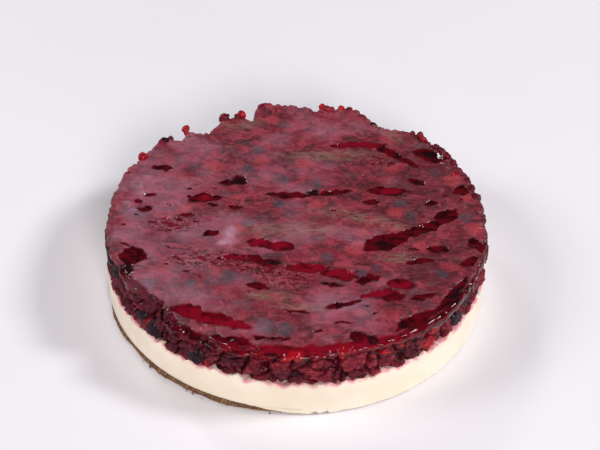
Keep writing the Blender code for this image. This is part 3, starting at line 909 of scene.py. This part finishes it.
def spotMask(x, y, spots, edge, taper=2.0):
    # 1 in the middle of each oval (across, back, long, wide, turned), falling to 0 over the edge share;
    # a taper under 2 gives it pointed ends
    found = np.zeros(len(x))
    for across, back, long, wide, turn in spots:
        cos, sin = math.cos(math.radians(turn)), math.sin(math.radians(turn))
        u = (cos * (x - across) + sin * (y - back)) / (long / 2)
        v = (cos * (y - back) - sin * (x - across)) / (wide / 2)
        away = (np.abs(u) ** taper + np.abs(v) ** taper) ** (1 / taper)
        found = np.maximum(found, smooth(1 + edge, 1 - edge, away))
    return found


def topRelief(x, y):
    # depth and masks over the flat top, with x and y in mm: dips with noisy outlines, seeded small
    # pits, a wrinkled skin where it is pitted, and streaks along X
    flat = np.stack([x, y, np.zeros(len(x))], axis=1)
    wx = x + 2.6 * roughNoise(flat, 8, 101) + 1.1 * noise(flat, 3.1, 104)
    wy = y + 1.9 * roughNoise(flat * (0.55, 1, 1), 5.5, 111, 4) + 0.9 * noise(flat, 2.7, 107)
    depth, wet = np.zeros(len(x)), np.zeros(len(x))
    draw = np.random.default_rng(19)
    reach, turn, long, tilt = (draw.uniform(low, high, jelly["smallPits"])
                               for low, high in ((0, 1), (0, 6.3), (1.5, 4.5), (-25, 25)))
    reach = jelly["strewn"] * np.sqrt(reach)
    small = list(zip(reach * np.cos(turn), reach * np.sin(turn), long, 0.42 * long, tilt, 0.35 + 0.05 * long))
    for across, back, long, wide, turn, deep in dips + small:
        edge = min(0.45, 0.8 / wide + 0.1)
        one = spotMask(wx, wy, [(across, back, 1.1 * long, 1.1 * wide, turn)], edge, 1.75)
        bowl = spotMask(wx, wy, [(across, back, 1.25 * long, 1.4 * wide, turn)], 0.75, 1.7)
        depth = np.maximum(depth, jelly["dipDepth"] * deep * bowl)
        wet = np.maximum(wet, smooth(0.15, 0.6, one))
    inPits = spotMask(wx, wy, pitted, 0.5)
    crumpled = roughNoise(np.stack([0.5 * wx, wy, 0 * x], axis=1), 1.9, 121, 2)
    holes = smooth(0.10, 0.38, crumpled) * smooth(0.10, 0.70, inPits)
    depth = depth + jelly["holeDepth"] * holes - 0.35 * inPits * smooth(0.0, -0.5, crumpled)
    wet = np.maximum(wet, 0.85 * smooth(0.35, 0.85, holes))
    streaks = roughNoise(flat * (0.3, 1, 1), 3.0, 131, 3)
    raised = spotMask(wx, wy, knobs, 0.9)
    lumpsUp = 0.32 * roughNoise(flat, 17, 141) + 0.03 * streaks + 0.10 * roughNoise(flat, 5, 151)
    return depth, wet, lumpsUp + jelly["knobHeight"] * raised, inPits, raised


def contours(tree, place, size, stretch, distortion):
    # thin lines where the noise passes its middle: 4 m (1 - m) of a narrow mask m
    across = blotches(tree, place, size, stretch, 0.46, 0.54, distortion, 1.0)
    return times(tree, times(tree, across, opposite(tree, across)), 4.0)


def jellyFinish():
    # thin colours laid over each other by masks times blotches, among them painted sheen, painted shade and a
    # painted glow, and clear dark red where it is wet
    made, tree, shader, place = newFinish("setJelly", Metallic=0.0, IOR=1.42, Specular_IOR_Level=0.36)
    inPits, shiny = mark(tree, "pitted"), mark(tree, "shiny")
    holes = times(tree, blotches(tree, place, 0.0013, 2.0, 0.545, 0.60, 0.6), inPits)
    wet = calculate(tree, "MAXIMUM", mark(tree, "wet"), holes)
    dry = opposite(tree, wet)
    # pale and dark fine blotches everywhere, stronger in the pitted stretches, where they are painted
    # highlights on the wrinkles and painted shade in the pits
    paler, darker = (calculate(tree, "MULTIPLY_ADD", inPits, much, least)
                     for much, least in ((0.55, 0.16), (0.50, 0.22)))
    large = blotches(tree, place, 0.0105, 1.4, 0.41, 0.60, 1.2)
    colour = blendColours(tree, large, jelly["base"], jelly["plum"])
    # the plum laid in by the mask of the shaded stretches is painted shade
    # a share, the colour it brings in, and its blotches: size, stretch, low, high, distortion
    for share, tint, *cut in ((0.72, "rose", 0.0066, 1.2, 0.46, 0.64, 1.0),
                              (0.38, "rose", 0.0026, 1.3, 0.48, 0.68, 1.0),
                              (mark(tree, "paintedShade"), "plum", 0.0090, 1.3, 0.30, 0.56, 1.0),
                              (mark(tree, "olive"), "olive", 0.0028, 2.8, 0.36, 0.60, 1.4),
                              (mark(tree, "scarlet"), "scarlet", 0.0030, 1.2, 0.22, 0.52, 0.5),
                              (mark(tree, "slate"), "slate", 0.0030, 1.2, 0.22, 0.52, 0.5),
                              (paler, "light", 0.0011, 1.3, 0.54, 0.70),
                              (darker, "dark", 0.0012, 1.3, 0.56, 0.70)):
        colour = blendColours(tree, times(tree, blotches(tree, place, *cut), share), colour, jelly[tint])
    # painted sheen on the top, mixed in by its mask
    colour = blendColours(tree, mark(tree, "paintedSheen"), colour, jelly["paintedSheen"])
    flowing = calculate(tree, "MULTIPLY_ADD", mark(tree, "olive"), 0.24, 0.10)
    lines = calculate(tree, "MAXIMUM", contours(tree, place, 0.0160, 2.2, 1.2),
                      contours(tree, place, 0.0075, 2.5, 1.5))
    colour = blendColours(tree, times(tree, lines, flowing), colour, jelly["beige"])
    clearer = blotches(tree, place, 0.0038, 1.5, 0.38, 0.58)
    pool = blendColours(tree, clearer, jelly["deep"], jelly["crimson"])
    lively = times(tree, mark(tree, "bright"), blotches(tree, place, 0.0055, 1.6, 0.30, 0.58, 0.8))
    pool = blendColours(tree, lively, pool, jelly["bright"])
    # painted glow along the front rim
    pool = blendColours(tree, mark(tree, "glow"), pool, jelly["glow"])
    colour = blendColours(tree, wet, colour, pool)
    colour = blendColours(tree, mark(tree, "black"), colour, jelly["black"])
    hazy = calculate(tree, "MULTIPLY_ADD", blotches(tree, place, 0.004, 2.0, 0.3, 0.7), 0.12, 0.32)
    dull = times(tree, dry, opposite(tree, shiny))
    rough = calculate(tree, "ADD", times(tree, hazy, dull), 0.05)
    relief = times(tree, holes, -1.0)
    # a mask, a height, and the blotches that stand out by it there, as above with their detail last
    for share, high, *cut in ((dry, 0.25, 0.0018, 1.5, 0.2, 0.8),
                              (dry, 0.9, 0.0062, 1.4, 0.20, 0.80, 0.5, 2.0),
                              (shiny, 1.0, 0.0034, 1.3, 0.25, 0.75, 0.4, 1.0),
                              (mark(tree, "wet"), 0.5, 0.0080, 1.6, 0.20, 0.80, 0.3, 1.0)):
        layer = times(tree, times(tree, blotches(tree, place, *cut), share), high)
        relief = calculate(tree, "ADD", relief, layer)
    dress(tree, shader, colour, relief, 0.0006, rough)
    return made


def rimCurve(ring, angle):
    # how far each ring is round the lip, the rim, and the skin's radius and fall below the top: the
    # inner rings cross the flat, the outer ones round a quarter circle and run down over the fruit
    lipShare = np.clip((ring - jelly["flatShare"]) / (1 - jelly["flatShare"]), 0, 1)
    around = polar(angle, cake["radius"], 0)
    rim = rimAt(angle)[0] + jelly["reach"] + 0.0010 * hump(angle, *jelly["thickLip"])
    rim = rim + jelly["uneven"] * roughNoise(around, 0.008, 221, 3)
    bend = lipRound(angle)
    drop = jelly["drop"] + jelly["runs"] * smooth(0.0, 0.8, roughNoise(around, 0.012, 231, 3))
    draped = hump(angle, *jelly["drapes"]) * smooth(-0.3, 0.4, roughNoise(around, 0.014, 237, 2))
    drop = drop + jelly["longRuns"] * draped
    arc = bend * math.pi / 2
    travel = lipShare * (arc + drop)
    sweep = np.clip(travel / bend, 0, math.pi / 2)
    radius = (rim - bend) * np.minimum(ring / jelly["flatShare"], 1) + bend * np.sin(sweep)
    fall = bend * (1 - np.cos(sweep)) + np.maximum(travel - arc, 0)
    return lipShare, rim, radius, fall


def jellySkin(ring, angle):
    # the skin's points: dips and pits in the flat, a ridge along the thick lip, berries and grooves
    # that move the rim, and a step down to the wet stretch in front; returned with what its looks need
    lipShare, rim, radius, fall = rimCurve(ring, angle)
    thick, rise = hump(angle, *jelly["thickLip"]), rimAt(angle)[1]
    x, y = 1000 * radius * np.cos(angle), 1000 * radius * np.sin(angle)
    depth, wet, lumpsUp, inPits, raised = topRelief(x, y)
    onTop = smooth(0.55, 0.0, lipShare)
    nearRim = smooth(0.80, 0.97, radius / cake["radius"])
    bulges = rise * smooth(0.0125, 0.0020, rim - radius)
    ridge = jelly["ridge"] * thick * np.exp(-(((rim - radius - 0.0026) / 0.0020) ** 2))
    uneven = 1.1 * (1 - 0.6 * thick) * nearRim * roughNoise(polar(angle, radius, 0), 0.009, 241, 2)
    lumpsUp = lumpsUp + uneven + 1000 * bulges + ridge
    height = topHeight(angle, radius) - fall - 0.001 * (depth * onTop - lumpsUp)
    atRim = radius > cake["radius"] - 0.016
    split, owner = np.zeros(len(ring)), np.zeros(len(ring))
    _, split[atRim], owner[atRim] = crushedRelief(polar(angle[atRim], cake["radius"], height[atRim]))
    loose = (1 - 0.9 * thick) * (1 - 0.5 * hump(angle, *jelly["heldRim"]))
    close = smooth(-0.0050, -0.0004, radius - rim) * loose
    radius = radius + close * (jelly["berries"] * (owner - 0.5) - jelly["grooves"] * split)
    split = split * loose
    height = height - jelly["grooves"] * split * smooth(-0.0070, -0.0015, radius - rim) * onTop
    behind = smooth(-0.25, 0.35, np.sin(angle))
    pastFlat = 1000 * radius - np.interp(np.degrees(angle), list(flatEnds), list(flatEnds.values()))
    spread = polar(angle, radius, 0)
    beyond = smooth(-1.0, 1.0, pastFlat + 2.0 * roughNoise(spread, 0.010, 171)) * (1 - behind)
    height = height - jelly["step"] * beyond * onTop
    # where the painted sheen runs over the rim, the lip is left dry
    flowing = 1 - 0.9 * hump(angle, *jelly["sheenRim"])
    broken = smooth(-0.2, 0.2, roughNoise(spread, 0.007, 177)) * hump(angle, *jelly["darkRim"])
    lipWet = smooth(0.02, 0.3, lipShare) * np.maximum((1 - behind) * flowing, broken)
    wet = np.maximum.reduce([wet, beyond * flowing, lipWet])
    # painted sheen along the back edge of the rim
    backSheen = behind * smooth(0.0, 0.5, lipShare)
    return polar(angle, radius, height), x, y, pastFlat, wet, inPits, raised, backSheen


def strewnSpots(draw, count, low, high):
    # ovals from low to high in size, drawn evenly over the disc
    reach, turn = jelly["strewn"] * np.sqrt(draw.uniform(0, 1, count)), draw.uniform(0, 6.3, count)
    sizes = draw.uniform(low, high, count)
    return list(zip(reach * np.cos(turn), reach * np.sin(turn), 1.3 * sizes, sizes, 0 * sizes))


def jellyMasks(angle, top, x, y, pastFlat, wet, inPits, raised, backSheen):
    # the listed and strewn spots as masks, with outlines bent by noise, and the painted sheen as a sum of
    # shares: more at the left, in the stretches of painted sheen, on knobs and at the back edge, and less at
    # the right
    bent = [roughNoise(top, 0.006, seed) for seed in (181, 191, 201)]
    warped = 1000 * top + 1.7 * np.stack(bent, axis=1)
    draw = np.random.default_rng(43)

    def within(spots, edge):
        return spotMask(warped[:, 0], warped[:, 1], spots, edge)

    masks = {"pitted": inPits, "wet": wet}
    for name, given, count, share in (("slate", slates, 46, 0.9), ("scarlet", scarlets, 34, 0.7)):
        ovals = [(across, back, 1.05 * size, size, 0) for across, back, size in given]
        strewn = strewnSpots(draw, count, 4, 8)
        masks[name] = np.maximum(share * within(ovals, 0.42), 0.50 * within(strewn, 0.7))
    for name, spots, edge, share in (("olive", olives, 0.6, 1.0), ("paintedShade", shadedStretches, 0.7, 0.8),
                                     ("shiny", shinies, 0.5, 1.0), ("black", blacks, 0.35, 0.9)):
        masks[name] = share * within(spots, edge)
    masks["bright"] = np.maximum(within(brights, 0.4), 0.9 * inPits)
    # painted glow where the front rim is past the flat
    frontGlow = hump(angle, *jelly["frontGlow"]) * smooth(-1, 4, pastFlat)
    masks["glow"] = np.clip(frontGlow * smooth(-0.1, 0.5, roughNoise(top, 0.010, 211)) * 1.2, 0, 1)
    # painted sheen: more at the left, less at the right, with soft clouds of it and bright patches
    leftward, rightward = smooth(70, -90, x) * smooth(118, 80, np.abs(y - 10)), smooth(10, 90, x)
    cloud = roughNoise(top * (0.7, 1, 1), 0.014, 251, 4)
    glowing = within(sheenPatches[:2], 0.6) * smooth(-0.35, 0.25, roughNoise(top, 0.006, 261, 3))
    masks["paintedSheen"] = np.clip(
        0.01 + 0.07 * leftward - 0.14 * rightward + 0.22 * within(sheenPatches, 0.8) + 0.50 * cloud
        + 0.65 * glowing + 0.25 * raised + 0.30 * backSheen * (1 - 0.8 * rightward), 0, 1)
    return masks


def makeJellyTop(finish):
    # the skin over a disc grid, closed below by a copy of its border further in and a middle point
    ring, angle, quads, border = discGrid(jelly["steps"])
    top, *rest = jellySkin(ring, angle)
    masks = jellyMasks(angle, top, *rest)
    edge = top[border]
    turned = np.arctan2(edge[:, 1], edge[:, 0])
    inside = np.hypot(edge[:, 0], edge[:, 1]) - jelly["wall"]
    below = topHeight(turned, inside) - jelly["thickness"] - 0.0008
    inner = polar(turned, inside, np.minimum(edge[:, 2], below))
    centre = [[0, 0, cake["berryTop"] - jelly["thickness"]]]
    count, first = len(border), len(top)
    here = np.arange(count)
    beside = (here + 1) % count
    strip = np.stack([border, first + here, first + beside, border[beside]], axis=1)
    fan = np.stack([first + beside, first + here, np.full(count, first + count)], axis=1)
    marks = {name: np.concatenate([values, values[border], [0]]) for name, values in masks.items()}
    makePiece("jellyTop", np.concatenate([top, inner, centre]),
              quads.tolist() + strip.tolist() + fan.tolist(), finish, "berry_topping", marks)


# Crumbs

crumbs = {"count": 46, "seed": 7, "small": 0.0003, "large": 0.0010, "side": 240, "spread": 12}


def makeCrumbs(finish):
    # small balls bent by noise, strewn along the foot on the side where the biscuit shows
    ball, faces = frontedBall(6)
    draw = np.random.default_rng(crumbs["seed"])
    found = []
    for number in range(crumbs["count"]):
        size = crumbs["small"] + (crumbs["large"] - crumbs["small"]) * draw.uniform(0, 1) ** 3
        angle = math.radians(crumbs["side"] + crumbs["spread"] * draw.normal())
        radius = cake["radius"] + 0.0012 * draw.normal() - 0.0006
        bent = 1 + 0.35 * noise(ball + number, 0.8, number)[:, None]
        shape = ball * bent * draw.uniform(0.6, 1.2, 3) * size
        spot = np.array([radius * math.cos(angle), radius * math.sin(angle), -shape[:, 2].min()])
        found.append(shape + spot)
    points = np.concatenate(found)
    makePiece("crumbs", points, copied(faces, len(ball), len(found)), finish, "biscuit_base",
              {"crevice": np.zeros(len(points))})


biscuitLook = biscuitFinish()
makeBiscuitBase(biscuitLook)
makeCreamLayer(creamFinish())
makeCrushedFruit(pulpFinish())
makeBerries({kind: fruitFinish(kind) for kind in kinds})
makeJellyTop(jellyFinish())
makeCrumbs(biscuitLook)
print("pieces made")


# The floor, the lights and the camera

studio = {
    "floor": (0.80, 0.765, 0.80), "floorSize": 3.0, "floorPoints": 9,
    "world": (0.94, 0.94, 1.0), "worldStrength": 0.075,
    # name: place, what it points at, size, power, colour
    "lights": {
        "right": ((1.96, 0.12, 1.8), (0, 0, 0.02), 0.6, 43, (0.98, 1.0, 1.03)),
        "back": ((-1.5, 2.2, 2.1), (0, 0, 0.02), 0.5, 18, (0.98, 0.98, 1.02)),
        "front": ((0.9, -3.9, 2.3), (0, 0, 0.02), 1.3, 134, (1.0, 0.98, 0.955)),
        "left": ((-2.2, -0.2, 1.8), (0, 0, 0.02), 1.0, 33, (0.98, 0.98, 1.0)),
    },
    # the camera, its angles in degrees
    "lens": 90, "sensor": 36, "elevation": 40.65, "distance": 1.009, "roll": 1.77,
    "aim": (0.0017, 0.0511, 0),
}


def aimed(place, at):
    # a matrix that looks from place towards at, with its -Z axis
    look = (Vector(at) - Vector(place)).to_track_quat("-Z", "Y")
    return Matrix.Translation(place) @ look.to_matrix().to_4x4()


def makeStudio():
    # a flat square floor twice floorSize wide, a faint world light and the four lights
    half, count = studio["floorSize"], studio["floorPoints"]
    mesh = bpy.data.meshes.new("floor")
    line = np.linspace(-half, half, count)
    x, y = (grid.ravel() for grid in np.meshgrid(line, line, indexing="ij"))
    quads = gridQuads(np.arange(count**2).reshape(count, count))
    mesh.from_pydata(np.stack([x, y, 0 * x], axis=1).tolist(), [], quads.tolist())
    finish, tree, shader, place = newFinish("paleFloor", Roughness=0.55, Metallic=0.0)
    paler = tuple(1.03 * channel for channel in studio["floor"])
    colour = blendColours(tree, blotches(tree, place, 0.35, 1.0, 0.3, 0.7), studio["floor"], paler)
    tree.links.new(colour, shader.inputs["Base Color"])
    mesh.materials.append(finish)
    floor = bpy.data.objects.new("floor", mesh)
    bpy.context.scene.collection.objects.link(floor)
    world = bpy.data.worlds.new("studio")
    world.use_nodes = True
    background = world.node_tree.nodes["Background"]
    background.inputs["Color"].default_value = (*studio["world"], 1)
    background.inputs["Strength"].default_value = studio["worldStrength"]
    bpy.context.scene.world = world
    for name, (stand, at, size, power, tint) in studio["lights"].items():
        data = bpy.data.lights.new(name, "AREA")
        data.shape, data.size, data.energy, data.color = "SQUARE", size, power, tint
        light = bpy.data.objects.new(name, data)
        light.matrix_world = aimed(stand, at)
        bpy.context.scene.collection.objects.link(light)


def makeCamera():
    # looks down along +Y at the elevation, turned a little about its own line of sight
    rise, roll = math.radians(studio["elevation"]), math.radians(studio["roll"])
    back = Vector((0, -math.cos(rise), math.sin(rise)))
    right, up = Vector((1, 0, 0)), Vector((0, math.sin(rise), math.cos(rise)))
    across = math.cos(roll) * right + math.sin(roll) * up
    above = math.cos(roll) * up - math.sin(roll) * right
    place = Vector(studio["aim"]) + studio["distance"] * back
    data = bpy.data.cameras.new("camera")
    data.lens, data.sensor_width, data.clip_start = studio["lens"], studio["sensor"], 0.05
    camera = bpy.data.objects.new("camera", data)
    turned = Matrix((across, above, back)).transposed().to_4x4()
    camera.matrix_world = Matrix.Translation(place) @ turned
    bpy.context.scene.collection.objects.link(camera)
    bpy.context.scene.camera = camera


makeStudio()
makeCamera()
bpy.context.scene.view_settings.view_transform = "Standard"
print("studio made")
